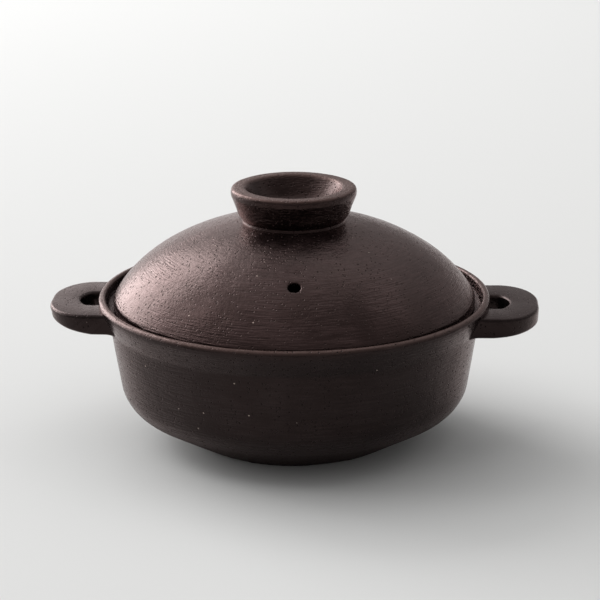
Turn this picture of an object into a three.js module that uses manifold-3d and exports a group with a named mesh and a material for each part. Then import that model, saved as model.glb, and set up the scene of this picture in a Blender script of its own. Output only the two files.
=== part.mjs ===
// A stoneware steamer pot: a wide bowl with two lug handles, a domed lid with a cup-shaped knob,
// a pierced steam grate on a ledge inside, and a loose steel plate on the floor for induction hobs.
// Millimetres, +Z up, origin at the middle of the base. The handles lie along X, and the vent faces the
// front, -Y, with the lid turned a little in its seat.

import * as THREE from 'three';
import { mergeVertices } from 'three/addons/utils/BufferGeometryUtils.js';
import Module from 'manifold-3d';

const wasm = await Module();
wasm.setup();

// Bowl, outside
const POT_HEIGHT = 92.6;
const RIM_RADIUS = 122.5;
const BASE_RADIUS = 64;
const BASE_EDGE_ROUND = 2;
const KNUCKLE_RADIUS = 107.7;
const KNUCKLE_HEIGHT = 24.7;
const KNUCKLE_ROUND = 21;
const BAND_HEIGHT = 15.2;
const BAND_STEP = 1.4;
const BAND_STEP_HEIGHT = 1.2;
const BAND_FLARE = 5.6;
const RIM_SIDE_HEIGHT = 3.4;
const RIM_ROUND = 1.7;

// Bowl, inside
const POT_WALL = 8;
const FLOOR_THICKNESS = 8;
const FLOOR_ROUND = 14;
const RIM_TOP_WIDTH = 4;
const GALLERY_DEPTH = 7;
const GALLERY_SLOPE = 1.6;
const GALLERY_ROUND = 2;
const SEAT_BEARING = 7.5;
const SEAT_LIP_HEIGHT = 8;
const LEDGE_HEIGHT = 45;
const LEDGE_WIDTH = 5;
const LEDGE_ROUND = 1.5;
const CHAMBER_ROUND = 12;

// Lid
const LID_PLAY = 3.7;
const LID_EDGE_HEIGHT = 5;
const LID_EDGE_ROUND = 6;
const LID_DOME_RISE = 51.3;
const LID_DOME_SPREAD = 6.3;
const LID_WALL = 7;
const LID_FOOT_WIDTH = 8;
const LID_FOOT_ROUND = 1.5;
const VENT_PLACE = 83;
const VENT_TURN = THREE.MathUtils.degToRad(2.75);
const VENT_DIAMETER = 7;
const VENT_CHAMFER = 1.2;

// Knob
const KNOB_BASE_RADIUS = 31.5;
const KNOB_LIP_RADIUS = 38.5;
const KNOB_HEIGHT = 21.1;
const KNOB_LIP_HEIGHT = 7.5;
const KNOB_LIP_STEP = 1;
const KNOB_LIP_ROUND = 3;
const KNOB_LIP_WIDTH = 7.5;
const KNOB_DISH_DEPTH = 13;

// Lug handles
const HANDLE_REACH = 30.3;
const HANDLE_THICKNESS = 13;
const HANDLE_DROP = 4;
const HANDLE_WIDTH = 73;
const HANDLE_ARM = 1.5;
const HANDLE_ROOT_FLARE = 3;
const HANDLE_EDGE_ROUND = 3;
const HANDLE_EDGE_STEPS = 3;
const HANDLE_ROOT_ROUND = 9;
const FINGER_HOLE_REACH = 11.9;
const FINGER_HOLE_WIDTH = 27;

// Steam grate
const GRATE_PLAY = 1.2;
const GRATE_THICKNESS = 9;
const GRATE_HOLE = 16;
const GRATE_PITCH = 38;
const GRATE_MARGIN = 9;
const GRATE_CHAMFER = 1.5;

// Induction plate
const PLATE_PLAY = 4;
const PLATE_THICKNESS = 1.5;
const PLATE_FOOT_HEIGHT = 2.5;
const PLATE_FOOT_RADIUS = 5;
const PLATE_FOOT_COUNT = 3;
const PLATE_FOOT_STEPS = 2.5;
const PLATE_HOLE = 6;
const PLATE_HOLE_PITCH = 18;
const PLATE_MARGIN = 4;

// Clearance between pieces that touch, and the fineness of round shapes
const SEAT_GAP = 0.3;
const FACET_SAG = 0.2;
const TURN_SEGMENTS = 48;
const HOLE_SEGMENTS = 14;
const SAME_POINT = 0.001;

// Heights and radii that follow from the driving sizes
const HALF_TURN = Math.PI;
const BAND_BOTTOM_RADIUS = RIM_RADIUS - BAND_FLARE;
const WALL_TOP_RADIUS = BAND_BOTTOM_RADIUS - BAND_STEP;
const WALL_TOP_HEIGHT = POT_HEIGHT - BAND_HEIGHT - BAND_STEP_HEIGHT;
const GALLERY_HEIGHT = POT_HEIGHT - GALLERY_DEPTH;
const GALLERY_RADIUS = RIM_RADIUS - RIM_TOP_WIDTH - GALLERY_SLOPE;
const LID_RADIUS = GALLERY_RADIUS - LID_PLAY;
const SEAT_RADIUS = LID_RADIUS - SEAT_BEARING;
const LID_BOTTOM = GALLERY_HEIGHT + SEAT_GAP;
const HANDLE_TOP = POT_HEIGHT - HANDLE_DROP;
const HANDLE_BOTTOM = HANDLE_TOP - HANDLE_THICKNESS;
const HANDLE_BEND = RIM_RADIUS + HANDLE_ARM;

// Slope of the leaning wall and of the cone under it, as outward run per unit of height
const WALL_LEAN = (WALL_TOP_RADIUS - KNUCKLE_RADIUS) / (WALL_TOP_HEIGHT - KNUCKLE_HEIGHT);
const CONE_SPREAD = (KNUCKLE_RADIUS - BASE_RADIUS) / KNUCKLE_HEIGHT;

// Inner wall and inner cone, one wall thickness inside the outer ones, measured square to the surface
const wallInside = (z) =>
  KNUCKLE_RADIUS + WALL_LEAN * (z - KNUCKLE_HEIGHT) - POT_WALL * Math.hypot(1, WALL_LEAN);
const coneInside = (z) => BASE_RADIUS + CONE_SPREAD * z - POT_WALL * Math.hypot(1, CONE_SPREAD);
const coneInsideHeight = (r) => (r - coneInside(0)) / CONE_SPREAD;
const CHAMBER_RADIUS = wallInside(LEDGE_HEIGHT) - LEDGE_WIDTH;
const FLOOR_RADIUS = coneInside(FLOOR_THICKNESS);

// Dome of the lid: the upper part of an ellipse, cut off by the lid's edge before its sides are upright
const DOME_HALF_WIDTH = LID_RADIUS + LID_DOME_SPREAD;
const DOME_HALF_HEIGHT = LID_DOME_RISE / (1 - Math.sqrt(1 - (LID_RADIUS / DOME_HALF_WIDTH) ** 2));
const DOME_TOP = LID_BOTTOM + LID_EDGE_HEIGHT + LID_DOME_RISE;
const DOME_CENTRE = DOME_TOP - DOME_HALF_HEIGHT;
const domeHeight = (r, offset) =>
  DOME_CENTRE + (DOME_HALF_HEIGHT + offset) * Math.sqrt(1 - (r / (DOME_HALF_WIDTH + offset)) ** 2);

const stoneware = () => new THREE.MeshStandardMaterial({ color: 0x3a2f2f, roughness: 0.45, metalness: 0 });
const steel = () => new THREE.MeshStandardMaterial({ color: 0xb9b9b6, roughness: 0.35, metalness: 1 });

// A corner of a turned outline: distance from the axis, height, and the radius that rounds it
function corner(r, z, round = 0) {
  return { point: new THREE.Vector2(r, z), round };
}

// Points from one angle to another on a circle, both ends included, with flats no deeper than the sag
function arc(centre, radius, from, to) {
  const stride = 2 * Math.acos(1 - Math.min(FACET_SAG / radius, 1));
  const steps = Math.max(2, Math.ceil(Math.abs(to - from) / stride));
  const points = [];
  for (let i = 0; i <= steps; i += 1) {
    const angle = from + (to - from) * i / steps;
    points.push(new THREE.Vector2(Math.cos(angle), Math.sin(angle)).multiplyScalar(radius).add(centre));
  }
  return points;
}

// Rounds each corner of an outline with an arc that keeps within half of the edges beside it
function rounded(corners) {
  const points = [];
  corners.forEach(({ point, round }, i) => {
    if (round === 0) {
      points.push(point);
      return;
    }
    const back = corners[i - 1].point.clone().sub(point);
    const ahead = corners[i + 1].point.clone().sub(point);
    const halfAngle = Math.acos(back.clone().normalize().dot(ahead.clone().normalize())) / 2;
    const room = Math.min(back.length(), ahead.length()) / 2;
    const run = Math.min(round / Math.tan(halfAngle), room);
    const radius = run * Math.tan(halfAngle);
    const middle = back.clone().normalize().add(ahead.clone().normalize()).normalize();
    const centre = middle.multiplyScalar(radius / Math.sin(halfAngle)).add(point);
    const start = back.setLength(run).add(point).sub(centre).angle();
    const end = ahead.setLength(run).add(point).sub(centre).angle();
    const turn = THREE.MathUtils.euclideanModulo(end - start + HALF_TURN, 2 * HALF_TURN) - HALF_TURN;
    points.push(...arc(centre, radius, start, start + turn));
  });
  return points;
}

// A closed solid from a closed three.js geometry
function solid(geometry) {
  const bare = geometry.clone();
  bare.deleteAttribute('normal');
  bare.deleteAttribute('uv');
  const merged = mergeVertices(bare);
  const corners = merged.index.array;
  const triangles = [];
  for (let i = 0; i < corners.length; i += 3) {
    const [a, b, c] = corners.slice(i, i + 3);
    if (a !== b && b !== c && c !== a) triangles.push(a, b, c);
  }
  return new wasm.Manifold(new wasm.Mesh({
    numProp: 3,
    vertProperties: new Float32Array(merged.attributes.position.array),
    triVerts: new Uint32Array(triangles),
  }));
}

// Turns an outline of (distance from axis, height) points about the Z axis
function turned(points) {
  const geometry = new THREE.LatheGeometry(points, TURN_SEGMENTS);
  return solid(geometry.rotateX(Math.PI / 2));
}

// An outline without the points that repeat the one before them, where two curves meet
function cleaned(points) {
  return points.filter((point, i) => point.distanceTo(points.at(i - 1)) > SAME_POINT);
}

// A flat shape in plan, raised between two heights, its edges rounded or, in one step, chamfered
function slab(shape, bottom, top, edge, edgeSteps) {
  const drawn = shape.extractPoints(HOLE_SEGMENTS / 2);
  const plan = new THREE.Shape(cleaned(drawn.shape));
  plan.holes = drawn.holes.map((hole) => new THREE.Path(cleaned(hole)));
  const geometry = new THREE.ExtrudeGeometry(plan, {
    depth: top - bottom - 2 * edge,
    bevelEnabled: edge > 0,
    bevelThickness: edge,
    bevelSize: edge,
    bevelOffset: -edge,
    bevelSegments: edgeSteps,
    steps: 1,
  });
  return solid(geometry.translate(0, 0, bottom + edge));
}

// One named piece of the pot
function piece(name, body, material) {
  const { vertProperties, triVerts } = body.getMesh();
  const geometry = new THREE.BufferGeometry();
  geometry.setAttribute('position', new THREE.BufferAttribute(new Float32Array(vertProperties), 3));
  geometry.setIndex(new THREE.BufferAttribute(new Uint32Array(triVerts), 1));
  geometry.computeVertexNormals();
  const mesh = new THREE.Mesh(geometry, material);
  mesh.name = name;
  return mesh;
}

// Outside of the bowl from the base up to the top of the rim, moved outwards by an offset
function bowlOutside(offset) {
  return [
    corner(BASE_RADIUS + offset, -offset, BASE_EDGE_ROUND),
    corner(KNUCKLE_RADIUS + offset, KNUCKLE_HEIGHT, KNUCKLE_ROUND),
    corner(WALL_TOP_RADIUS + offset, WALL_TOP_HEIGHT, BAND_STEP_HEIGHT),
    corner(BAND_BOTTOM_RADIUS + offset, WALL_TOP_HEIGHT + BAND_STEP_HEIGHT, BAND_STEP_HEIGHT),
    corner(RIM_RADIUS + offset, POT_HEIGHT - RIM_SIDE_HEIGHT, RIM_SIDE_HEIGHT),
    corner(RIM_RADIUS + offset, POT_HEIGHT + offset, RIM_ROUND),
  ];
}

// The inside of the bowl: rim, gallery that holds the lid, wall, ledge for the grate, and floor
function potBody() {
  const lipBottom = GALLERY_HEIGHT - SEAT_LIP_HEIGHT;
  const inside = [
    corner(RIM_RADIUS - RIM_TOP_WIDTH, POT_HEIGHT, RIM_ROUND),
    corner(GALLERY_RADIUS, GALLERY_HEIGHT, GALLERY_ROUND),
    corner(SEAT_RADIUS, GALLERY_HEIGHT, GALLERY_ROUND),
    corner(Math.max(SEAT_RADIUS, wallInside(lipBottom)), lipBottom, SEAT_LIP_HEIGHT),
    corner(wallInside(LEDGE_HEIGHT), LEDGE_HEIGHT),
    corner(CHAMBER_RADIUS, LEDGE_HEIGHT, LEDGE_ROUND),
    corner(CHAMBER_RADIUS, coneInsideHeight(CHAMBER_RADIUS), CHAMBER_ROUND),
    corner(FLOOR_RADIUS, FLOOR_THICKNESS, FLOOR_ROUND),
  ];
  const axisBottom = corner(0, 0);
  const axisTop = corner(0, FLOOR_THICKNESS);
  return turned(rounded([axisBottom, ...bowlOutside(0), ...inside, axisTop]));
}

// The bowl as a filled block, one seat gap larger, used to fit the handles to the wall
function bowlBlock() {
  const outside = bowlOutside(SEAT_GAP);
  return turned(rounded([corner(0, -SEAT_GAP), ...outside, corner(0, POT_HEIGHT + SEAT_GAP)]));
}

// Outline of a lug handle in plan, pointing along +X: half an ellipse on arms that flare into the wall
function handlePlan(root) {
  const half = HANDLE_WIDTH / 2;
  const wide = half + HANDLE_ROOT_FLARE;
  const wall = Math.sqrt(BAND_BOTTOM_RADIUS ** 2 - wide ** 2);
  const middle = (wall + HANDLE_BEND) / 2;
  const plan = new THREE.Shape();
  plan.moveTo(root, -wide);
  plan.lineTo(wall, -wide);
  plan.quadraticCurveTo(middle, -half, HANDLE_BEND, -half);
  plan.absellipse(HANDLE_BEND, 0, HANDLE_REACH - HANDLE_ARM, half, -Math.PI / 2, Math.PI / 2, false);
  plan.quadraticCurveTo(middle, half, wall, wide);
  plan.lineTo(root, wide);
  plan.closePath();
  return plan;
}

// Outline of the finger hole: straight sides from the wall and an end that follows the handle's ellipse
function fingerHole(inner) {
  const half = FINGER_HOLE_WIDTH / 2;
  const hole = new THREE.Path();
  hole.moveTo(inner, -half);
  hole.lineTo(HANDLE_BEND, -half);
  hole.absellipse(HANDLE_BEND, 0, FINGER_HOLE_REACH - HANDLE_ARM, half, -Math.PI / 2, Math.PI / 2, false);
  hole.lineTo(inner, half);
  hole.closePath();
  return hole;
}

// A lug handle: a rounded tongue with a finger hole and a hollow curve under its root
function handle() {
  const root = WALL_TOP_RADIUS - 2 * HANDLE_ROOT_ROUND;
  const plan = handlePlan(root);
  plan.holes.push(fingerHole(root + 3 * HANDLE_EDGE_ROUND));
  const tongue = slab(plan, HANDLE_BOTTOM, HANDLE_TOP, HANDLE_EDGE_ROUND, HANDLE_EDGE_STEPS);
  const wall = wallInside(HANDLE_BOTTOM) + POT_WALL * Math.hypot(1, WALL_LEAN);
  const hollow = new THREE.Vector2(wall + HANDLE_ROOT_ROUND, HANDLE_BOTTOM - HANDLE_ROOT_ROUND);
  const rootTop = HANDLE_BOTTOM + HANDLE_EDGE_ROUND;
  const rootOutline = [
    new THREE.Vector2(root, hollow.y),
    ...arc(hollow, HANDLE_ROOT_ROUND, Math.PI, Math.PI / 2),
    new THREE.Vector2(hollow.x, rootTop),
    new THREE.Vector2(root, rootTop),
    new THREE.Vector2(root, hollow.y),
  ];
  const cutPlan = handlePlan(root - HANDLE_ROOT_ROUND);
  cutPlan.holes.push(fingerHole(root - HANDLE_EDGE_ROUND));
  const plug = slab(cutPlan, hollow.y - SEAT_GAP, rootTop + SEAT_GAP, 0, 0);
  const gusset = turned(rootOutline).intersect(plug);
  return tongue.add(gusset).subtract(bowlBlock());
}

// Points on the dome, moved out by an offset, from one distance from the axis to another
function domeArc(offset, from, to) {
  const wide = DOME_HALF_WIDTH + offset;
  const flattening = (DOME_HALF_HEIGHT + offset) / wide;
  const circle = arc(new THREE.Vector2(), wide, Math.acos(from / wide), Math.acos(to / wide));
  return circle.map(({ x, y }) => new THREE.Vector2(x, DOME_CENTRE + y * flattening));
}

// The lid without its knob: a dome with a rounded edge, a flat foot to sit on, and a vent
function lidDome() {
  const footInside = LID_RADIUS - LID_FOOT_WIDTH;
  const shoulder = LID_RADIUS - LID_EDGE_ROUND / 3;
  const foot = rounded([
    corner(footInside, domeHeight(footInside, -LID_WALL)),
    corner(footInside, LID_BOTTOM, LID_FOOT_ROUND),
    corner(LID_RADIUS, LID_BOTTOM, LID_FOOT_ROUND),
    corner(LID_RADIUS, domeHeight(LID_RADIUS, 0), LID_EDGE_ROUND),
    corner(shoulder, domeHeight(shoulder, 0)),
  ]);
  const shell = turned([
    ...domeArc(-LID_WALL, 0, footInside).slice(0, -1),
    ...foot.slice(0, -1),
    ...domeArc(0, shoulder, 0),
  ]);
  return shell.subtract(ventCutter());
}

// The vent, a small bore square to the dome with a chamfered mouth
function ventCutter() {
  const bore = VENT_DIAMETER / 2;
  const mouth = bore + VENT_CHAMFER;
  const outline = [
    new THREE.Vector2(0, -2 * LID_WALL),
    new THREE.Vector2(bore, -2 * LID_WALL),
    new THREE.Vector2(bore, -VENT_CHAMFER),
    new THREE.Vector2(mouth, 0),
    new THREE.Vector2(mouth, LID_WALL),
    new THREE.Vector2(0, LID_WALL),
  ];
  const height = domeHeight(VENT_PLACE, 0);
  const tilt = Math.atan2(VENT_PLACE / DOME_HALF_WIDTH ** 2, (height - DOME_CENTRE) / DOME_HALF_HEIGHT ** 2);
  const cutter = new THREE.LatheGeometry(outline, HOLE_SEGMENTS);
  cutter.rotateX(Math.PI / 2);
  cutter.rotateX(tilt);
  cutter.translate(0, -VENT_PLACE, height);
  cutter.rotateZ(VENT_TURN);
  return solid(cutter);
}

// The knob, a flared cup with a dished top, whose underside follows the dome it is joined to
function lidKnob() {
  const baseHeight = domeHeight(KNOB_BASE_RADIUS, SEAT_GAP);
  const top = baseHeight + KNOB_HEIGHT;
  const lipBottom = top - KNOB_LIP_HEIGHT;
  const dishEdge = KNOB_LIP_RADIUS - KNOB_LIP_WIDTH;
  const dishRadius = (dishEdge ** 2 + KNOB_DISH_DEPTH ** 2) / (2 * KNOB_DISH_DEPTH);
  const dishCentre = new THREE.Vector2(0, top - KNOB_DISH_DEPTH + dishRadius);
  const dishStart = new THREE.Vector2(dishEdge, top).sub(dishCentre).angle();
  const sides = rounded([
    corner(KNOB_BASE_RADIUS, baseHeight),
    corner(KNOB_LIP_RADIUS - KNOB_LIP_STEP, lipBottom, KNOB_LIP_STEP),
    corner(KNOB_LIP_RADIUS, lipBottom + KNOB_LIP_STEP, KNOB_LIP_STEP),
    corner(KNOB_LIP_RADIUS, top, KNOB_LIP_ROUND),
    corner(dishEdge, top),
  ]);
  return turned([
    ...domeArc(SEAT_GAP, 0, KNOB_BASE_RADIUS).slice(0, -1),
    ...sides.slice(0, -1),
    ...arc(dishCentre, dishRadius, dishStart, 3 * Math.PI / 2),
  ]);
}

// Centres of a honeycomb pattern of holes that fit inside a circle
function honeycomb(pitch, limit) {
  const rowSpacing = pitch * Math.sqrt(3) / 2;
  const rows = Math.ceil(limit / rowSpacing);
  const centres = [];
  for (let row = -rows; row <= rows; row += 1) {
    for (let place = -2 * rows; place <= 2 * rows; place += 1) {
      const centre = new THREE.Vector2((place + Math.abs(row % 2) / 2) * pitch, row * rowSpacing);
      if (centre.length() <= limit) centres.push(centre);
    }
  }
  return centres;
}

// Points evenly round a circle
function circle(centre, radius, count) {
  const points = [];
  for (let i = 0; i < count; i += 1) {
    const angle = 2 * Math.PI * i / count;
    points.push(new THREE.Vector2(Math.cos(angle), Math.sin(angle)).multiplyScalar(radius).add(centre));
  }
  return points;
}

// A round disc in plan, pierced by a honeycomb of round holes
function piercedDisc(radius, holeDiameter, pitch, margin) {
  const disc = new THREE.Shape(circle(new THREE.Vector2(), radius, TURN_SEGMENTS));
  const bore = holeDiameter / 2;
  for (const centre of honeycomb(pitch, radius - margin - bore)) {
    disc.holes.push(new THREE.Path(circle(centre, bore, HOLE_SEGMENTS)));
  }
  return disc;
}

// The steam grate, a thick pierced disc that lies on the ledge
function steamGrate() {
  const bottom = LEDGE_HEIGHT + SEAT_GAP;
  const radius = wallInside(LEDGE_HEIGHT) - GRATE_PLAY;
  const disc = piercedDisc(radius, GRATE_HOLE, GRATE_PITCH, GRATE_MARGIN);
  return slab(disc, bottom, bottom + GRATE_THICKNESS, GRATE_CHAMFER, 1);
}

// The induction plate, a thin pierced disc on pressed feet that stand midway between two holes
function inductionPlate() {
  const footPlace = PLATE_FOOT_STEPS * PLATE_HOLE_PITCH;
  const footBottom = FLOOR_THICKNESS + SEAT_GAP;
  const bottom = footBottom + PLATE_FOOT_HEIGHT;
  const radius = FLOOR_RADIUS - PLATE_PLAY;
  const disc = piercedDisc(radius, PLATE_HOLE, PLATE_HOLE_PITCH, PLATE_MARGIN);
  let plate = slab(disc, bottom, bottom + PLATE_THICKNESS, 0, 0);
  const footOutline = [
    new THREE.Vector2(0, footBottom),
    new THREE.Vector2(PLATE_FOOT_RADIUS / 2, footBottom),
    new THREE.Vector2(PLATE_FOOT_RADIUS, bottom),
    new THREE.Vector2(PLATE_FOOT_RADIUS, bottom + PLATE_THICKNESS / 2),
    new THREE.Vector2(0, bottom + PLATE_THICKNESS / 2),
  ];
  for (let i = 0; i < PLATE_FOOT_COUNT; i += 1) {
    const angle = 2 * Math.PI * i / PLATE_FOOT_COUNT;
    const foot = new THREE.LatheGeometry(footOutline, HOLE_SEGMENTS).rotateX(Math.PI / 2);
    foot.translate(footPlace * Math.cos(angle), footPlace * Math.sin(angle), 0);
    plate = plate.add(solid(foot));
  }
  return plate;
}

const rightHandle = piece('right_handle', handle(), stoneware());
const leftHandle = piece('left_handle', handle(), stoneware());
leftHandle.rotation.z = Math.PI;

const pot = new THREE.Group();
pot.add(piece('pot_body', potBody(), stoneware()), rightHandle, leftHandle);

const lid = new THREE.Group();
lid.add(piece('lid_dome', lidDome(), stoneware()), piece('lid_knob', lidKnob(), stoneware()));

const steamer = new THREE.Group();
steamer.add(
  pot,
  lid,
  piece('steam_grate', steamGrate(), stoneware()),
  piece('induction_plate', inductionPlate(), steel()),
);

export default steamer;
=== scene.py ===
# %% [markdown]
# A stoneware steamer pot
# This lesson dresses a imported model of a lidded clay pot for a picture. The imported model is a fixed
# frame: it says where each piece sits and which body carries it. Every new piece is modelled in the
# same place, in metres, and takes the place of one plain solid of the frame.

# %% Load the frame
import math

import bpy
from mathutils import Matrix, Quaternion, Vector


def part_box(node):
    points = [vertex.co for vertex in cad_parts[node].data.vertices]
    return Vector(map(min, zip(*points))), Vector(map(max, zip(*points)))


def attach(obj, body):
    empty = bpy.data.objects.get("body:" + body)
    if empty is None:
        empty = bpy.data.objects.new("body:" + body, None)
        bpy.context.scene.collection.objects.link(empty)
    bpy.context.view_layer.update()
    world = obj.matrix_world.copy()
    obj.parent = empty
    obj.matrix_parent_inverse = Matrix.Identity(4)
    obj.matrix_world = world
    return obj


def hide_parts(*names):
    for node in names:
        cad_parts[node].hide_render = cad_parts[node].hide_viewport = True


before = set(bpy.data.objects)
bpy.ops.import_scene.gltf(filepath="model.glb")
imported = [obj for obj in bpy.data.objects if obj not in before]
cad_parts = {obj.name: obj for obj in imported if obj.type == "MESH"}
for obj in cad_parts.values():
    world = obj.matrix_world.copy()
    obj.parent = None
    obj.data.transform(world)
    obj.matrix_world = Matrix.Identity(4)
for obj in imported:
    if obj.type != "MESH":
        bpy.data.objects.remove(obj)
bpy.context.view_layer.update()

mm = 0.001
print("nodes", sorted(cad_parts))

# %% [markdown]
# The camera
# The picture was taken with a long lens from a little above the pot, almost straight from the front.
# The rim is a circle, so the shape of its ellipse gives the height of the camera, and the handles
# show that the right side is a little nearer and that the camera leans by a quarter of a degree. It
# comes first, so that each piece can be compared with the picture as soon as it is made.

# %% Place the camera
rim_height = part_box("pot_body")[1].z
camera_turn = math.radians(2.75)
camera_distance = 1.4
camera_height = 0.5153
picture_focus = 139.94
look_right = 3.6 * mm
look_down = 5.2 * mm
camera_roll = math.radians(-0.25)

camera_place = Vector((
    camera_distance * math.sin(camera_turn),
    -camera_distance * math.cos(camera_turn),
    camera_height,
))
rim_centre = Vector((0, 0, rim_height))
straight = (rim_centre - camera_place).to_track_quat("-Z", "Y")
aim = rim_centre + straight @ Vector((look_right, -look_down, 0))

bpy.ops.object.select_all(action="DESELECT")
bpy.ops.object.camera_add(location=camera_place)
camera = bpy.context.object
camera.name = "picture_camera"
level = (aim - camera_place).to_track_quat("-Z", "Y")
camera.rotation_euler = (level @ Quaternion((0, 0, 1), camera_roll)).to_euler()
camera.data.sensor_width = 36
camera.data.lens = picture_focus
camera.data.clip_end = 50
bpy.context.scene.camera = camera
print("camera at", [round(c, 3) for c in camera_place])

# %% [markdown]
# Colours and nodes
# A colour is written as it looks on a screen, in sRGB, while a shader works with linear light. One
# function turns the first into the second. A second small function adds a node with its settings
# and its links, so that a finish reads as a list of what it is made of.

# %% Two helpers for finishes
def linear(hex_code):
    channels = [int(hex_code[i:i + 2], 16) / 255 for i in (1, 3, 5)]
    return [c / 12.92 if c <= 0.04045 else ((c + 0.055) / 1.055) ** 2.4 for c in channels] + [1]


def add_node(tree, kind, inputs=(), **settings):
    node = tree.nodes.new("ShaderNode" + kind)
    for name, value in settings.items():
        setattr(node, name, value)
    for key, value in dict(inputs).items():
        if isinstance(value, bpy.types.NodeSocket):
            tree.links.new(value, node.inputs[key])
        else:
            node.inputs[key].default_value = value
    return node


print("dark glaze in linear light", [round(c, 4) for c in linear("#2b2222")])

# %% [markdown]
# Glazed stoneware
# The pot is thrown from a coarse dark clay and covered with a thin iron glaze that comes out of the
# kiln brown-black and satin, with a faint lustre. To the eye that gives four things: rings left by
# the thrower's fingers, a slightly lumpy skin, pinholes where gas came out of the clay, and a few
# pale grains of grit. All of them are patterns in space. The rings follow the distance from the axis
# and the height, and the rest follows Object coordinates, so one recipe suits every glazed piece.
# The foot stays bare, because glaze would stick it to the kiln shelf.

# %% Rings, pinholes and grains
# A ring is made of streaks that run round the axis. Their length is measured 90 mm out.
streak_length = 13 * mm
streak_width = 1.2 * mm
streak_radius = 90 * mm


def finger_rings(tree, axes, slope):
    streak_turns = streak_radius / streak_length
    streaks_across = 1 / streak_width
    flat = add_node(tree, "CombineXYZ", {"X": axes["X"], "Y": axes["Y"]}).outputs[0]
    radius = add_node(tree, "VectorMath", {0: flat}, operation="LENGTH").outputs["Value"]
    around = add_node(tree, "VectorMath", {0: flat}, operation="NORMALIZE").outputs[0]
    turns = {0: around, "Scale": streak_turns}
    along = add_node(tree, "VectorMath", turns, operation="SCALE").outputs[0]
    slant = {0: axes["Z"], 1: slope, 2: radius}
    run = add_node(tree, "Math", slant, operation="MULTIPLY_ADD").outputs[0]
    across = add_node(tree, "Math", {0: run, 1: streaks_across}, operation="MULTIPLY").outputs[0]
    upward = add_node(tree, "CombineXYZ", {"Z": across}).outputs[0]
    ring_place = add_node(tree, "VectorMath", {0: along, 1: upward}, operation="ADD").outputs[0]
    return add_node(tree, "TexNoise", {"Vector": ring_place, "Scale": 1, "Detail": 2}).outputs[0]


def pinholes(tree, place):
    # Pits about 1 mm across, one in about every 2.6 mm of clay, and six in ten of them open.
    cells = add_node(tree, "TexVoronoi", {"Vector": place, "Scale": 1 / (2.6 * mm)}).outputs
    shape = add_node(tree, "MapRange", {0: cells["Distance"], 1: 0.27, 2: 0.12}).outputs[0]
    chance = add_node(tree, "SeparateColor", {0: cells["Color"]}).outputs[0]
    is_open = add_node(tree, "Math", {0: chance, 1: 0.4}, operation="GREATER_THAN").outputs[0]
    return add_node(tree, "Math", {0: shape, 1: is_open}, operation="MULTIPLY").outputs[0]


def pale_grains(tree, place, spacing, outer, inner):
    # A grain fades between two radii, which are given as shares of the spacing.
    cells = add_node(tree, "TexVoronoi", {"Vector": place, "Scale": 1 / spacing}).outputs
    return add_node(tree, "MapRange", {0: cells["Distance"], 1: outer, 2: inner}).outputs[0]


def start_finish(name):
    material = bpy.data.materials.new(name)
    material.use_nodes = True
    tree = material.node_tree
    place = add_node(tree, "TexCoord").outputs["Object"]
    return material, tree, tree.nodes["Principled BSDF"], place


streak_angle = math.degrees(streak_length / streak_radius)
print("one streak of a ring covers", round(streak_angle, 1), "degrees of the lid")


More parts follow.
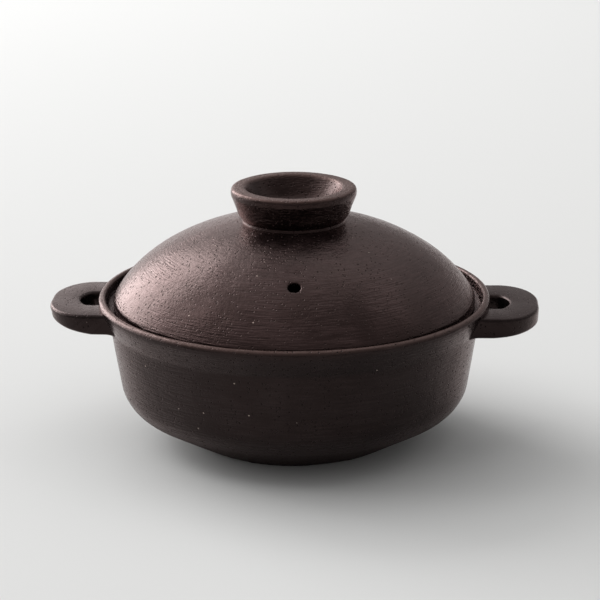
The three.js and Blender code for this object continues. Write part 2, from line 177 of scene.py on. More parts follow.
# %% Make the glaze
def stoneware_glaze(name, colours, ior, ring_slope, ring_share, thin_glaze_and_highlight_band, bare_below=-1):
    dark, pale, lustre = (linear(colour) for colour in colours)
    # From rim_from up to rim_to the glaze turns paler: thin glaze on the edge, and a painted highlight on
    # the top.
    rim_from, rim_to = thin_glaze_and_highlight_band
    material, tree, shader, place = start_finish(name)
    axes = add_node(tree, "SeparateXYZ", {0: place}).outputs
    rings = finger_rings(tree, axes, ring_slope)
    pits = pinholes(tree, place)
    # Grit: grains 1.2 mm across, one in about every 11 mm of clay.
    grit = pale_grains(tree, place, 11 * mm, 0.055, 0.035)
    # Orange peel: lumps about 2 mm across with finer grain on them, and clouds about 28 mm across.
    peel = {"Scale": 1 / (2 * mm), "Detail": 3, "Roughness": 0.7}
    lumps = add_node(tree, "TexNoise", {"Vector": place, **peel}).outputs[0]
    drift = {"Scale": 1 / (28 * mm), "Detail": 3}
    clouds = add_node(tree, "TexNoise", {"Vector": place, **drift}).outputs[0]

    # Colour: the glaze is paler where it lies thin, on rings and in clouds. At the rim it is paler too,
    # partly as thin glaze on the edge and partly as a painted highlight on the top.
    thin = add_node(tree, "Math", {0: rings, 1: clouds}, operation="MULTIPLY").outputs[0]
    thin = add_node(tree, "MapRange", {0: thin, 1: 0.18, 2: 0.36}).outputs[0]
    rim = add_node(tree, "MapRange", {0: axes["Z"], 1: rim_from, 2: rim_to}).outputs[0]
    glaze = add_node(tree, "Mix", {0: thin, 6: dark, 7: pale}, data_type="RGBA").outputs[2]
    # The rim colour is partly thin glaze and partly a painted highlight on the top of the rim and of the
    # knob's lip.
    for share, colour in ((rim, "#4a3a36"), (pits, "#0d0909"), (grit, "#8f827a")):
        layers = {0: share, 6: glaze, 7: linear(colour)}
        glaze = add_node(tree, "Mix", layers, data_type="RGBA").outputs[2]
    tree.links.new(glaze, shader.inputs["Base Color"])

    # Gloss: satin, duller in the pits, and matt on the foot, which stays bare for the kiln shelf.
    gloss = add_node(tree, "MapRange", {0: rings, 1: 0.3, 2: 0.7, 3: 0.17, 4: 0.24}).outputs[0]
    bare_band = {0: axes["Z"], 1: bare_below, 2: bare_below - 12 * mm}
    bare = add_node(tree, "MapRange", bare_band).outputs[0]
    for share, duller in ((pits, 0.4), (bare, 0.45)):
        layers = {0: share, 1: duller, 2: gloss}
        gloss = add_node(tree, "Math", layers, operation="MULTIPLY_ADD").outputs[0]
    tree.links.new(gloss, shader.inputs["Roughness"])
    shader.inputs["IOR"].default_value = ior
    # Lustre: iron crystals in the glaze give its reflections a faint metallic, pink-brown tint.
    shader.inputs["Metallic"].default_value = 0.3
    shader.inputs["Specular Tint"].default_value = lustre

    # Relief in millimetres: rings up to 0.5 where they show, lumps 0.24, pits 0.28 deep, grit 0.15.
    ring_depths = {3: 0.12 * ring_share, 4: 0.5 * ring_share}
    ring_depth = add_node(tree, "MapRange", {0: clouds, 1: 0.38, 2: 0.62, **ring_depths}).outputs[0]
    relief = add_node(tree, "Math", {0: rings, 1: ring_depth}, operation="MULTIPLY").outputs[0]
    for pattern, depth in ((lumps, 0.24), (pits, -0.28), (grit, 0.15)):
        layers = {0: pattern, 1: depth, 2: relief}
        relief = add_node(tree, "Math", layers, operation="MULTIPLY_ADD").outputs[0]
    bump = add_node(tree, "Bump", {"Height": relief, "Distance": mm, "Strength": 1})
    tree.links.new(bump.outputs[0], shader.inputs["Normal"])
    return material


lid_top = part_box("lid_knob")[1].z
# The pale band on the top of the rim and of the knob's lip is partly thin glaze and partly a painted
# highlight.
pot_rim_glaze_and_highlight = (rim_height - 2.5 * mm, rim_height)
knob_lip_glaze_and_highlight = (lid_top - 2 * mm, lid_top)
# A band that starts 1 m up is above every piece, so a piece with this band has no pale rim and no painted
# highlight.
no_rim_glaze_and_highlight = (1, 2)
# The pot, the lid and the knob carry one glaze. Painted shade makes the pot's and the knob's copies
# darker, and the lid's copy is lighter, as if lit from above.
pot_shaded_colours = ("#0b0909", "#1b1717", "#ffd8d3")
lid_lit_colours = ("#110c0c", "#302525", "#ffd0c9")
knob_shaded_colours = ("#070505", "#171111", "#ffd0c9")
# The wheel leaves rings on what is thrown. The handles are pulled by hand, so they have almost none.
pot_glaze = stoneware_glaze(
    "pot_iron_glaze", pot_shaded_colours, ior=1.42,
    ring_slope=1, ring_share=1, thin_glaze_and_highlight_band=pot_rim_glaze_and_highlight, bare_below=30 * mm)
handle_glaze = stoneware_glaze(
    "handle_iron_glaze", pot_shaded_colours, ior=1.42,
    ring_slope=1, ring_share=0.1, thin_glaze_and_highlight_band=no_rim_glaze_and_highlight)
lid_glaze = stoneware_glaze(
    "lid_iron_glaze", lid_lit_colours, ior=1.62,
    ring_slope=-1, ring_share=1, thin_glaze_and_highlight_band=no_rim_glaze_and_highlight)
knob_glaze = stoneware_glaze(
    "knob_iron_glaze", knob_shaded_colours, ior=1.5,
    ring_slope=1, ring_share=1, thin_glaze_and_highlight_band=knob_lip_glaze_and_highlight)
print("glazes", pot_glaze.name, handle_glaze.name, lid_glaze.name, knob_glaze.name)

# %% [markdown]
# Drawing an outline
# The bowl, the lid and the knob are round, as a wheel makes them, so each is one outline that turns
# round the upright axis. The outline is drawn as by hand: a single point is extruded from corner to
# corner, an arc is a point that spins about a centre, and a corner is rounded by a vertex bevel.
# The alternative, a stack of scaled cylinders, would leave steps in every curve.

# %% Helpers for outlines
def pick(piece, kind, test):
    bpy.ops.object.mode_set(mode="EDIT")
    bpy.ops.mesh.select_mode(type={"vertices": "VERT", "edges": "EDGE", "polygons": "FACE"}[kind])
    bpy.ops.mesh.select_all(action="DESELECT")
    bpy.ops.object.mode_set(mode="OBJECT")
    for item in getattr(piece.data, kind):
        item.select = test(item)
    bpy.ops.object.mode_set(mode="EDIT")


def start_outline(name, radius, height):
    bpy.ops.object.select_all(action="DESELECT")
    bpy.ops.mesh.primitive_plane_add(size=mm)
    piece = bpy.context.object
    piece.name = name
    piece.data.name = name
    bpy.ops.object.mode_set(mode="EDIT")
    bpy.ops.mesh.select_mode(type="VERT")
    bpy.ops.mesh.select_all(action="SELECT")
    bpy.ops.mesh.merge(type="CENTER")
    bpy.ops.transform.translate(value=(radius, 0, height))
    return piece


def line_to(piece, radius, height):
    piece.update_from_editmode()
    pen = next(v.co for v in piece.data.vertices if v.select)
    step = Vector((radius, 0, height)) - pen
    bpy.ops.mesh.extrude_vertices_move(TRANSFORM_OT_translate={"value": step})


def arc_about(radius, height, turn, steps):
    bpy.ops.mesh.spin(steps=steps, angle=turn, center=(radius, 0, height), axis=(0, 1, 0))


def round_corner(piece, radius, height, cut, steps=2):
    corner = Vector((radius, 0, height))
    pick(piece, "vertices", lambda v: (v.co - corner).length < 0.05 * mm)
    bpy.ops.mesh.bevel(affect="VERTICES", offset=cut, segments=steps)


def split_long_edges(piece, longest):
    def is_long(edge):
        first, second = (piece.data.vertices[i].co for i in edge.vertices)
        return (first - second).length > longest

    for _ in range(5):
        pick(piece, "edges", is_long)
        bpy.ops.mesh.subdivide(number_cuts=1)


def ring_widening(segments):
    # Subdivision draws a ring of flat sides inwards, so the ring is widened by as much beforehand.
    return 3 / (2 + math.cos(math.tau / segments))


def turn_outline(piece, segments, longest):
    split_long_edges(piece, longest)
    bpy.ops.mesh.select_mode(type="VERT")
    bpy.ops.mesh.select_all(action="SELECT")
    bpy.ops.mesh.spin(steps=segments, angle=math.tau, center=(0, 0, 0), axis=(0, 0, 1))
    bpy.ops.mesh.select_all(action="SELECT")
    bpy.ops.mesh.remove_doubles(threshold=0.01 * mm)
    bpy.ops.mesh.normals_make_consistent(inside=False)
    widen = ring_widening(segments)
    bpy.ops.transform.resize(value=(widen, widen, 1), center_override=(0, 0, 0))
    bpy.ops.object.mode_set(mode="OBJECT")


print("a ring of 64 sides is widened to", round(ring_widening(64), 5), "of its size")


# %% Helpers that finish a piece
crease_angle = math.radians(40)


def smooth(piece, levels):
    finer = piece.modifiers.new("finer", "SUBSURF")
    finer.levels = levels
    finer.render_levels = levels
    bpy.ops.object.modifier_apply(modifier=finer.name)


def wobble(piece, depth, size):
    lumps = bpy.data.textures.new(piece.name + "_wobble", "CLOUDS")
    lumps.noise_scale = size
    hand = piece.modifiers.new("hand", "DISPLACE")
    hand.texture = lumps
    hand.texture_coords = "LOCAL"
    hand.strength = depth
    bpy.ops.object.modifier_apply(modifier=hand.name)


def hand_over(piece, body, node, material):
    bpy.ops.object.select_all(action="DESELECT")
    piece.select_set(True)
    bpy.context.view_layer.objects.active = piece
    bpy.ops.object.shade_smooth_by_angle(angle=crease_angle)
    piece.data.materials.clear()
    piece.data.materials.append(material)
    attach(piece, body)
    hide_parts(node)
    size = [round(d / mm, 1) for d in piece.dimensions]
    print(piece.name, len(piece.data.polygons), "faces", size, "mm")


print("edges sharper than", round(math.degrees(crease_angle)), "degrees stay sharp")

# %% [markdown]
# The bowl
# The bowl has a flat foot, a sloping lower part, a rounded knuckle and a nearly upright wall. A low
# band stands out from the wall under the rim. Inside are the gallery on which the lid lies, and a
# narrow ledge for the grate. Its outline goes from the axis under the foot, up the outside, over
# the rim and down the inside to the axis again.

# %% Measure the bowl
rim_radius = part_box("pot_body")[1].x
foot_radius = 63 * mm
knuckle_radius = 107.7 * mm
knuckle_height = 25.4 * mm
rim_lip = 4.2 * mm
rim_width = 4.4 * mm
band_radius = rim_radius - 5.6 * mm
band_height = rim_height - 15.2 * mm
wall_radius = band_radius - 1.4 * mm
wall_height = band_height - 2 * mm
gallery_radius = rim_radius - 5.6 * mm
gallery_height = rim_height - 7 * mm
seat_radius = gallery_radius - 11.1 * mm
seat_bottom = gallery_height - 8 * mm
ledge_height = 45 * mm
ledge_radius = 102.6 * mm
chamber_radius = ledge_radius - 5 * mm
chamber_height = 26 * mm
floor_height = 8 * mm
floor_radius = 62 * mm
rim_across = round(2 * rim_radius / mm, 1)
foot_across = round(2 * foot_radius / mm, 1)
print("the rim is", rim_across, "mm across and the foot", foot_across, "mm")

# %% Draw and turn the bowl
bowl = start_outline("bowl", 0, 0)
line_to(bowl, foot_radius, 0)
line_to(bowl, knuckle_radius, knuckle_height)
line_to(bowl, wall_radius, wall_height)
line_to(bowl, band_radius, band_height)
line_to(bowl, rim_radius, rim_height - rim_lip)
line_to(bowl, rim_radius, rim_height)
line_to(bowl, rim_radius - rim_width, rim_height)
line_to(bowl, gallery_radius, gallery_height)
line_to(bowl, seat_radius, gallery_height)
line_to(bowl, seat_radius, seat_bottom)
line_to(bowl, ledge_radius, ledge_height)
line_to(bowl, chamber_radius, ledge_height)
line_to(bowl, chamber_radius, chamber_height)
line_to(bowl, floor_radius, floor_height)
line_to(bowl, 0, floor_height)

round_corner(bowl, foot_radius, 0, 2 * mm)
round_corner(bowl, knuckle_radius, knuckle_height, 10 * mm, 5)
round_corner(bowl, wall_radius, wall_height, 1.2 * mm)
round_corner(bowl, band_radius, band_height, 1.2 * mm)
round_corner(bowl, rim_radius, rim_height - rim_lip, 1.4 * mm)
round_corner(bowl, rim_radius, rim_height, 2.7 * mm, 4)
round_corner(bowl, rim_radius - rim_width, rim_height, 1.3 * mm, 3)
round_corner(bowl, gallery_radius, gallery_height, 2 * mm)
round_corner(bowl, seat_radius, gallery_height, 2 * mm)
round_corner(bowl, seat_radius, seat_bottom, 3 * mm)
round_corner(bowl, chamber_radius, ledge_height, 1.5 * mm)
round_corner(bowl, chamber_radius, chamber_height, 6 * mm, 4)
round_corner(bowl, floor_radius, floor_height, 4 * mm, 4)
turn_outline(bowl, 64, 9 * mm)
smooth(bowl, 1)
wobble(bowl, 0.5 * mm, 45 * mm)
# The wobble also moves the underside of the foot, so it is pressed flat again.
pick(bowl, "vertices", lambda v: v.co.z < 0.4 * mm)
bpy.ops.transform.resize(value=(1, 1, 0), center_override=(0, 0, 0))
bpy.ops.object.mode_set(mode="OBJECT")
hand_over(bowl, "pot", "pot_body", pot_glaze)

# %% [markdown]
# The lug handles
# Each handle is a flat loop of clay with a hole for a finger, pressed onto the band while both are
# soft, so its root spreads into the wall. A section of the loop is drawn once and run along the loop:
# out, round a corner by a spin of a quarter turn, across the tip, round the second corner and back.
# The hole is drawn together to an oval, and the underside is turned up a little towards the tip. The
# two ends are then extruded to the wall, spread, and laid on the bowl with a shrinkwrap, so that the
# root follows the curve of the wall.

# %% Measure the handle
handle_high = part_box("right_handle")[1]
handle_top = handle_high.z - 1.2 * mm
handle_thick = 12.8 * mm
handle_half = 37.5 * mm
hole_half = 13.5 * mm
handle_bend = rim_radius + 1.5 * mm
handle_out = handle_high.x - handle_bend
strap_width = handle_half - hole_half
strap_middle = (handle_half + hole_half) / 2
corner_middle = 5 * mm
side_run = 5 * mm
edge_round = 2.2 * mm
underside_rise = math.radians(5.5)
print("the handle reaches", round((handle_high.x - rim_radius) / mm, 1), "mm beyond the rim")

# %% Run a strap of clay round the loop
bpy.ops.object.select_all(action="DESELECT")
bpy.ops.mesh.primitive_plane_add(size=1, rotation=(0, math.pi / 2, 0))
right_handle = bpy.context.object
right_handle.name = "right_lug"
right_handle.data.name = "right_lug"
right_handle.scale = (handle_thick, strap_width, 1)
right_handle.location = (0, -strap_middle, -handle_thick / 2)
bpy.ops.object.transform_apply(location=True, rotation=True, scale=True)


def run_strap(step):
    bpy.ops.mesh.extrude_region_move(TRANSFORM_OT_translate={"value": step})


def round_the_corner(centre):
    bpy.ops.mesh.spin(steps=20, angle=-math.pi / 2, center=centre, axis=(0, 0, 1))


bpy.ops.object.mode_set(mode="EDIT")
bpy.ops.mesh.select_mode(type="VERT")
bpy.ops.mesh.select_all(action="SELECT")
bpy.ops.mesh.bevel(affect="VERTICES", offset=edge_round, segments=4)
bpy.ops.mesh.select_all(action="SELECT")
run_strap((side_run, 0, 0))
round_the_corner((side_run, -corner_middle, 0))
for _ in range(4):
    run_strap((0, corner_middle / 2, 0))
round_the_corner((side_run, corner_middle, 0))
run_strap((-side_run, 0, 0))
bpy.ops.mesh.select_all(action="SELECT")
bpy.ops.mesh.remove_doubles(threshold=0.01 * mm)
bpy.ops.mesh.normals_make_consistent(inside=False)
drawn_out = side_run + handle_half - corner_middle
pull_in = handle_out / drawn_out
bpy.ops.transform.resize(value=(pull_in, 1, 1), center_override=(0, 0, 0))
print("the loop is", round(drawn_out / mm, 1), "mm long as drawn, and is pulled in to", round(pull_in, 3))

# %% Shape the hole and the underside
# The finger hole is an oval, so its end is drawn together, with less and less pull to either side.
hole_end = (side_run + hole_half - corner_middle + edge_round) * pull_in
hole_narrowing = 0.4


def at_hole_end(vertex):
    return abs(vertex.co.y) < corner_middle + 0.1 * mm and vertex.co.x < hole_end + 0.1 * mm


pick(right_handle, "vertices", at_hole_end)
bpy.ops.transform.resize(
    value=(1, hole_narrowing, 1), center_override=(0, 0, 0),
    use_proportional_edit=True, proportional_edit_falloff="SMOOTH", proportional_size=12 * mm)
pick(right_handle, "vertices", lambda v: v.co.z < -handle_thick / 2)
under_root = (0, 0, -handle_thick)
bpy.ops.transform.rotate(value=underside_rise, orient_axis="Y", center_override=under_root)
bpy.ops.object.mode_set(mode="OBJECT")
right_handle.location = (handle_bend, 0, handle_top)
bpy.ops.object.transform_apply(location=True, rotation=True, scale=True)
lowest_tip = min(v.co.z for v in right_handle.data.vertices if v.co.x > handle_high.x - 4 * mm)
print("handle thickness at the tip", round((handle_top - lowest_tip) / mm, 1), "mm")


# %% Spread the roots onto the wall
def at_end(side):
    return lambda face: face.normal.x < -0.8 and len(face.vertices) > 4 and face.center.y * side > 0


def lay_on_bowl(piece, gap):
    for group in piece.vertex_groups:
        lay = piece.modifiers.new("lay", "SHRINKWRAP")
        lay.target = bowl
        lay.vertex_group = group.name
        lay.wrap_method = "PROJECT"
        lay.use_project_x = True
        lay.use_negative_direction = True
        lay.use_positive_direction = True
        lay.offset = gap
        bpy.ops.object.modifier_apply(modifier=lay.name)
    piece.vertex_groups.clear()


root_reach = 5 * mm
root_sunk = 1.5 * mm
root_steps = 7
root_spread = math.radians(80)
root_widening = 0.14
root_deepening = 0.3
root_middle = strap_middle - 3 * mm
# Each new ring starts well outside the wall, because the projection must meet its outer side.
clear_of_wall = 8 * mm
for step in range(root_steps + 1):
    spread = root_spread * step / root_steps
    growth = 1 - math.cos(spread)
    before = 1 - math.cos(root_spread * max(step - 1, 0) / root_steps)
    widen = (1 + root_widening * growth) / (1 + root_widening * before)
    deepen = (1 + root_deepening * growth) / (1 + root_deepening * before)
    for side in (-1, 1):
        pick(right_handle, "polygons", at_end(side))
        run_strap((clear_of_wall, 0, 0))
        middle = (handle_bend, side * root_middle, handle_top - 1 * mm)
        bpy.ops.transform.resize(value=(1, widen, deepen), center_override=middle)
        right_handle.vertex_groups.new(name="root" + str(side))
        bpy.ops.object.vertex_group_assign()
        bpy.ops.object.mode_set(mode="OBJECT")
    lay_on_bowl(right_handle, (root_reach + root_sunk) * (1 - math.sin(spread)) - root_sunk)
bpy.ops.object.mode_set(mode="EDIT")
bpy.ops.mesh.select_all(action="SELECT")
bpy.ops.mesh.normals_make_consistent(inside=False)
bpy.ops.object.mode_set(mode="OBJECT")
wobble(right_handle, 0.4 * mm, 20 * mm)
print("the spread roots take up", round(right_handle.dimensions.y / mm, 1), "mm of the wall")

# %% Copy it for the left handle
bpy.ops.object.select_all(action="DESELECT")
right_handle.select_set(True)
bpy.context.view_layer.objects.active = right_handle
bpy.ops.object.duplicate(linked=False)
left_handle = bpy.context.object
left_handle.name = "left_lug"
left_handle.data.name = "left_lug"
left_handle.rotation_euler.z = math.pi
bpy.ops.object.transform_apply(location=True, rotation=True, scale=True)


def under_left_tip(vertex):
    return vertex.co.x < -handle_bend and vertex.co.z < handle_top - handle_thick / 2


# No two hand-made handles are alike: the underside of the left one rises more to its tip.
left_extra_rise = math.radians(5)
left_root = (-handle_bend, 0, handle_top - handle_thick)
pick(left_handle, "vertices", under_left_tip)
bpy.ops.transform.rotate(value=-left_extra_rise, orient_axis="Y", center_override=left_root)
bpy.ops.object.mode_set(mode="OBJECT")
hand_over(right_handle, "pot", "right_handle", handle_glaze)
hand_over(left_handle, "pot", "left_handle", handle_glaze)

# %% [markdown]
# The lid
# The lid is a dome with a small upright edge that drops into the gallery. In section the dome is part
# of an ellipse, and an ellipse is a circle that has been flattened, so each of its two skins, inside
# and outside, is spun as an arc and then scaled in height. The foot on which the lid lies joins them.
# The vent is a hole through both skins: two facing faces are inset and bridged, and the subdivision
# that smooths the dome makes the square opening round.

# %% Draw and turn the lid
lid_low, lid_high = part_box("lid_dome")
lid_radius = lid_high.x
lid_bottom = lid_low.z
dome_top = lid_high.z
lid_wall = 7 * mm
dome_rise = dome_top - lid_bottom - 5 * mm
dome_width = lid_radius + 6.3 * mm
dome_height = dome_rise / (1 - math.sqrt(1 - (lid_radius / dome_width) ** 2))
dome_centre = dome_top - dome_height
foot_inside = lid_radius - 8 * mm
dome_rows = 12
lid_segments = 48


def flatten_dome(lid, width, height):
    middle = Vector((0, 0, dome_centre))
    pick(lid, "vertices", lambda v: (v.co - middle).length > width - 0.1 * mm)
    bpy.ops.transform.resize(value=(1, 1, height / width), center_override=middle)


inner_width = dome_width - lid_wall
lid = start_outline("lid_shell", 0, dome_centre + inner_width)
arc_about(0, dome_centre, -math.asin(foot_inside / inner_width), dome_rows)
flatten_dome(lid, inner_width, dome_height - lid_wall)
pick(lid, "vertices", lambda v: v.co.x > foot_inside - 0.1 * mm)
line_to(lid, foot_inside, lid_bottom)
line_to(lid, lid_radius, lid_bottom)
line_to(lid, lid_radius, dome_centre + math.sqrt(dome_width ** 2 - lid_radius ** 2))
arc_about(0, dome_centre, math.asin(lid_radius / dome_width), dome_rows)
flatten_dome(lid, dome_width, dome_height)
round_corner(lid, foot_inside, lid_bottom, 1.5 * mm)
round_corner(lid, lid_radius, lid_bottom, 1.5 * mm)
round_corner(lid, lid_radius, dome_top - dome_rise, 1.5 * mm)
turn_outline(lid, lid_segments, 12 * mm)
print("the dome rises", round(dome_rise / mm, 1), "mm and has", len(lid.data.polygons), "faces so far")

# %% Open the vent
vent_place = 83 * mm
lid_turn = math.radians(2.75)
vent_search = 12 * mm
vent_aim = 4 * mm
vent_inset = 1.6 * mm
vent_height = dome_centre + dome_height * math.sqrt(1 - (vent_place / dome_width) ** 2)
vent_mouth = Vector((vent_place * math.sin(lid_turn), -vent_place * math.cos(lid_turn), vent_height))
vent_line = Vector((
    vent_mouth.x / dome_width ** 2,
    vent_mouth.y / dome_width ** 2,
    (vent_height - dome_centre) / dome_height ** 2,
)).normalized()


def beside_vent(face):
    from_mouth = face.center - vent_mouth
    return from_mouth.length < vent_search and from_mouth.cross(vent_line).length < vent_aim


lid.rotation_euler.z = lid_turn - math.pi / lid_segments
bpy.ops.object.transform_apply(location=True, rotation=True, scale=True)
pick(lid, "polygons", beside_vent)
bpy.ops.mesh.inset(thickness=vent_inset, use_individual=True)
bpy.ops.mesh.bridge_edge_loops()
bpy.ops.object.mode_set(mode="OBJECT")
smooth(lid, 2)
wobble(lid, 0.5 * mm, 40 * mm)
hand_over(lid, "lid", "lid_dome", lid_glaze)

# %% [markdown]
# The knob
# The knob is a shallow cup turned as a ring and stuck to the dome with slip, which leaves a small
# fillet round its foot. Upside down it is the foot of the lid when it serves as a bowl, so its lip
# is broad and flat. Under the lip its wall tapers to the dome. It is drawn and turned in the same
# way as the bowl.

# %% Measure the knob
knob_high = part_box("lid_knob")[1]
lip_top = knob_high.z
lip_radius = knob_high.x + 0.5 * mm
lip_bottom = lip_top - 6.2 * mm
lip_under = lip_radius - 0.6 * mm
lip_edge = lip_bottom + 1.6 * mm
neck_radius = lip_radius - 2.9 * mm
neck_height = lip_bottom - 5.6 * mm
belly_radius = lip_radius - 4.5 * mm
belly_height = neck_height - 5.2 * mm
knob_radius = 31.5 * mm
dish_edge = lip_radius - 8.7 * mm
dish_depth = 15 * mm
dish_floor = dish_edge - 9.5 * mm
dish_sag = 1 * mm
dish_corner = lip_top - dish_depth + dish_sag

# Near its top the dome is as round as a ball of this radius.
cap_radius = dome_width ** 2 / dome_height
cap_centre = dome_top - cap_radius


def cap_height(radius):
    return cap_centre + math.sqrt(cap_radius ** 2 - radius ** 2)


sunk = 0.8 * mm
slip_radius = knob_radius + 1 * mm
slip_top = cap_height(slip_radius) + 0.1 * mm
waist_radius = knob_radius + 0.4 * mm
waist_height = cap_height(knob_radius) + 1.3 * mm
print("the knob stands", round((lip_top - slip_top) / mm, 1), "mm above the dome at its foot")

# %% Draw and turn the knob
knob = start_outline("knob_cup", 0, dome_top - sunk)
arc_about(0, cap_centre, -math.asin(slip_radius / (cap_radius - sunk)), 5)
line_to(knob, slip_radius, slip_top)
line_to(knob, waist_radius, waist_height)
line_to(knob, belly_radius, belly_height)
line_to(knob, neck_radius, neck_height)
line_to(knob, lip_under, lip_bottom)
line_to(knob, lip_radius, lip_edge)
line_to(knob, lip_radius, lip_top)
line_to(knob, dish_edge, lip_top)
line_to(knob, dish_floor, dish_corner)
line_to(knob, 0, lip_top - dish_depth)
round_corner(knob, slip_radius, slip_top, 0.4 * mm)
round_corner(knob, waist_radius, waist_height, 0.5 * mm)
round_corner(knob, belly_radius, belly_height, 1.5 * mm, 3)
round_corner(knob, neck_radius, neck_height, 2 * mm)
round_corner(knob, lip_under, lip_bottom, 0.7 * mm)
round_corner(knob, lip_radius, lip_edge, 0.7 * mm)
round_corner(knob, lip_radius, lip_top, 2.2 * mm, 3)
round_corner(knob, dish_edge, lip_top, 1.2 * mm)
round_corner(knob, dish_floor, dish_corner, 4 * mm, 4)
turn_outline(knob, 48, 5 * mm)
smooth(knob, 2)
wobble(knob, 0.35 * mm, 22 * mm)
hand_over(knob, "lid", "lid_knob", knob_glaze)

# %% [markdown]
# The grate
# Food steams on a loose clay disc with finger-sized holes. A flat curve is the shortest way to it:
# a large circle with a small one for each hole fills itself, and its extrude and bevel values give
# the thickness and the rounded edges. It is then turned into a mesh.

# %% Helper for pierced discs
def honeycomb(pitch, limit):
    row_spacing = pitch * math.sqrt(3) / 2
    rows = math.ceil(limit / row_spacing)
    centres = []
    for row in range(-rows, rows + 1):
        for step in range(-2 * rows, 2 * rows + 1):
            centre = Vector(((step + row % 2 / 2) * pitch, row * row_spacing, 0))
            if centre.length <= limit:
                centres.append(centre)
    return centres


def pierced_disc(name, low, high, edge, hole_radius, pitch, margin):
    bpy.ops.object.select_all(action="DESELECT")
    bpy.ops.curve.primitive_bezier_circle_add(radius=high.x - edge)
    disc = bpy.context.object
    disc.name = name
    bpy.ops.object.mode_set(mode="EDIT")
    for centre in honeycomb(pitch, high.x - margin - hole_radius):
        bpy.ops.curve.primitive_bezier_circle_add(radius=hole_radius + edge, location=centre)
    bpy.ops.object.mode_set(mode="OBJECT")
    disc.data.dimensions = "2D"
    disc.data.fill_mode = "BOTH"
    disc.data.extrude = (high.z - low.z) / 2 - edge
    disc.data.bevel_depth = edge
    disc.data.bevel_resolution = 3
    disc.data.resolution_u = 14
    disc.location.z = (low.z + high.z) / 2
    bpy.ops.object.convert(target="MESH")
    bpy.ops.object.transform_apply(location=True, rotation=True, scale=True)
    disc.data.name = name
    bpy.ops.object.mode_set(mode="EDIT")
    bpy.ops.mesh.select_all(action="SELECT")
    bpy.ops.mesh.remove_doubles(threshold=0.01 * mm)
    bpy.ops.mesh.normals_make_consistent(inside=False)
    bpy.ops.object.mode_set(mode="OBJECT")
    return disc


def keep_faces_flat(disc):
    # The normals of the large faces outweigh those of the small edges, so a flat face looks flat.
    even = disc.modifiers.new("even", "WEIGHTED_NORMAL")
    even.keep_sharp = True
    bpy.ops.object.modifier_apply(modifier=even.name)


print("one hole and its neighbours in a honeycomb make", len(honeycomb(1, 1.5)), "holes")


# %% Make the grate
def fired_clay(name):
    material, tree, shader, place = start_finish(name)
    # Sand: grains of about 0.7 mm, drawn a little coarser than real sand so that they show.
    grains = {"Vector": place, "Scale": 1 / (0.7 * mm), "Detail": 2}
    sand = add_node(tree, "TexNoise", grains).outputs[0]
    # Kiln marks: cloudy patches about 40 mm across.
    patches = {"Vector": place, "Scale": 1 / (40 * mm), "Detail": 4}
    marks = add_node(tree, "TexNoise", patches).outputs[0]
    # Grog: pale broken grains about 1 mm across, one in about every 5 mm.
    grog = pale_grains(tree, place, 5 * mm, 0.12, 0.08)
    tone = add_node(tree, "MapRange", {0: marks, 1: 0.35, 2: 0.65}).outputs[0]
    shades = {0: tone, 6: linear("#2f2523"), 7: linear("#4b3b36")}
    clay = add_node(tree, "Mix", shades, data_type="RGBA").outputs[2]
    specks = {0: grog, 6: clay, 7: linear("#8a7a6e")}
    clay = add_node(tree, "Mix", specks, data_type="RGBA").outputs[2]
    tree.links.new(clay, shader.inputs["Base Color"])
    dull = add_node(tree, "MapRange", {0: sand, 1: 0.3, 2: 0.7, 3: 0.62, 4: 0.8}).outputs[0]
    tree.links.new(dull, shader.inputs["Roughness"])
    relief = add_node(tree, "Math", {0: sand, 1: 0.12}, operation="MULTIPLY").outputs[0]
    bump = add_node(tree, "Bump", {"Height": relief, "Distance": mm, "Strength": 1})
    tree.links.new(bump.outputs[0], shader.inputs["Normal"])
    return material


grate_low, grate_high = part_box("steam_grate")
grate = pierced_disc(
    "grate_disc", grate_low, grate_high,
    edge=1.8 * mm, hole_radius=8 * mm, pitch=38 * mm, margin=9 * mm)
hand_over(grate, "grate", "steam_grate", fired_clay("matt_fired_clay"))
keep_faces_flat(grate)

# %% [markdown]
# The induction plate
# Clay doesn't heat on an induction hob, so a thin disc of magnetic stainless steel lies on the floor
# of the pot. It is punched from sheet, so it gets the same flat curve with a very small edge, and
# three pressed feet that let water under it.

# %% Make the plate
def rolled_steel(name):
    material, tree, shader, place = start_finish(name)
    # Roll lines: 25 mm long and 0.5 mm wide, drawn coarser than real ones so that they show.
    line_scale = (1 / (25 * mm), 1 / (0.5 * mm), 1 / (25 * mm))
    stretched = add_node(tree, "Mapping", {0: place, 3: line_scale}).outputs[0]
    lines = add_node(tree, "TexNoise", {"Vector": stretched, "Scale": 1, "Detail": 3}).outputs[0]
    shades = {0: lines, 6: linear("#9b9a97"), 7: linear("#c4c3bf")}
    tone = add_node(tree, "Mix", shades, data_type="RGBA").outputs[2]
    tree.links.new(tone, shader.inputs["Base Color"])
    gloss = add_node(tree, "MapRange", {0: lines, 1: 0.3, 2: 0.7, 3: 0.26, 4: 0.4}).outputs[0]
    tree.links.new(gloss, shader.inputs["Roughness"])
    shader.inputs["Metallic"].default_value = 1
    bump = add_node(tree, "Bump", {"Height": lines, "Distance": 0.02 * mm, "Strength": 1})
    tree.links.new(bump.outputs[0], shader.inputs["Normal"])
    return material


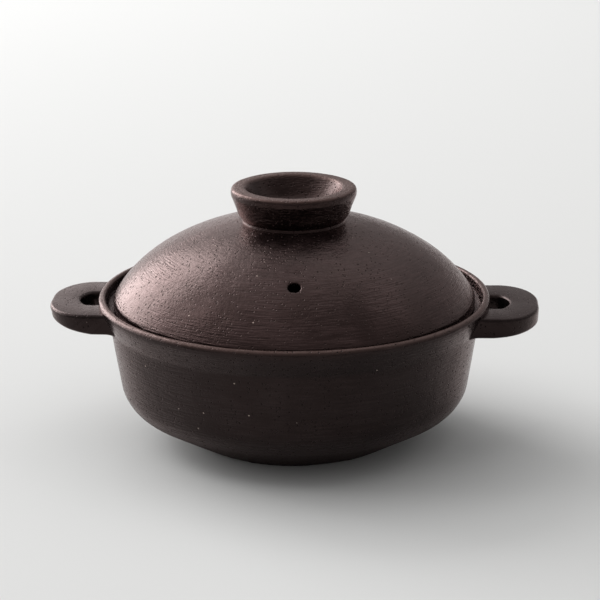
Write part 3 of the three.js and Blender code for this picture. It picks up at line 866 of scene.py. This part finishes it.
plate_low, plate_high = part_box("induction_plate")
plate_pitch = 18 * mm
press_depth = 2.5 * mm
press_radius = 5 * mm
press_overlap = 0.4 * mm
sheet_low = plate_low + Vector((0, 0, press_depth))
plate = pierced_disc(
    "plate_disc", sheet_low, plate_high,
    edge=0.3 * mm, hole_radius=3 * mm, pitch=plate_pitch, margin=4 * mm)
bpy.ops.object.mode_set(mode="EDIT")
for third in range(3):
    turn = third * math.tau / 3
    press_place = Vector((math.cos(turn), math.sin(turn), 0)) * 2.5 * plate_pitch
    press_place.z = plate_low.z + (press_depth + press_overlap) / 2
    bpy.ops.mesh.primitive_cone_add(
        vertices=32, radius1=press_radius / 2, radius2=press_radius,
        depth=press_depth + press_overlap, location=press_place)


def under_plate(edge):
    return all(plate.data.vertices[i].co.z < plate_low.z + 0.1 * mm for i in edge.vertices)


pick(plate, "edges", under_plate)
bpy.ops.mesh.bevel(offset=0.8 * mm, segments=3)
bpy.ops.object.mode_set(mode="OBJECT")
steel = rolled_steel("rolled_stainless_steel")
hand_over(plate, "plate", "induction_plate", steel)
keep_faces_flat(plate)

# %% [markdown]
# Floor and light
# The pot stands on a plain pale floor. A dark satin glaze shows mostly what it reflects, so the
# lamps are large and soft and stand for the parts of a room. Two tall panels behind on the left are
# the panes of a window and draw the bright patch on the lid's flank. Fainter ones stand for the
# walls beside and above the window, the ceiling, and the wall on the far side.

# %% Lay the floor
bpy.ops.object.select_all(action="DESELECT")
bpy.ops.mesh.primitive_circle_add(vertices=96, radius=12, fill_type="NGON")
floor = bpy.context.object
floor.name = "floor"
paper = bpy.data.materials.new("pale_paper")
paper.use_nodes = True
paper_shader = paper.node_tree.nodes["Principled BSDF"]
paper_shader.inputs["Base Color"].default_value = linear("#dededd")
paper_shader.inputs["Roughness"].default_value = 0.9
paper_shader.inputs["Specular IOR Level"].default_value = 0
floor.data.materials.append(paper)
print("the floor is", round(floor.dimensions.x), "m across")

# %% Set the lamps
world = bpy.data.worlds.new("room")
bpy.context.scene.world = world
world.use_nodes = True
world.node_tree.nodes["Background"].inputs["Color"].default_value = linear("#ffffff")
world.node_tree.nodes["Background"].inputs["Strength"].default_value = 0.37
pot_middle = Vector((0, 0, 100 * mm))
lamp_distance = 5


def panel(name, left_of_back, above, width, height, brightness):
    turn = math.radians(left_of_back)
    tilt = math.radians(above)
    flat = lamp_distance * math.cos(tilt)
    up = lamp_distance * math.sin(tilt)
    place = pot_middle + Vector((-flat * math.sin(turn), flat * math.cos(turn), up))
    bpy.ops.object.light_add(type="AREA", location=place)
    lamp = bpy.context.object
    lamp.name = name
    lamp.rotation_euler = (pot_middle - place).to_track_quat("-Z", "Y").to_euler()
    lamp.data.shape = "RECTANGLE"
    lamp.data.size = width
    lamp.data.size_y = height
    lamp.data.energy = brightness * math.pi * width * height
    lamp.visible_camera = False
    print(name, "area", round(width * height, 3), "square metres, brightness", brightness)


# Each lamp: degrees left of the back, degrees up, width and height in metres, and brightness.
panel("window_near_pane", 40, 22, 1.76, 4.5, 5.6)
panel("window_far_pane", 60, 19, 1.76, 3.8, 5.1)
panel("wall_beside_window", 18, 20, 2.2, 4.1, 0.6)
panel("side_wall", 85, 25, 2.3, 4.6, 1.6)
panel("wall_above_window", 65, 54, 6, 1.8, 0.85)
panel("ceiling", 50, 76, 7, 5, 0.5)
panel("far_wall", -50, 50, 6, 3, 0.35)

# %% [markdown]
# Colours as written
# The Standard view transform shows each colour as it is written.

# %% Set the view transform
bpy.context.scene.view_settings.view_transform = "Standard"
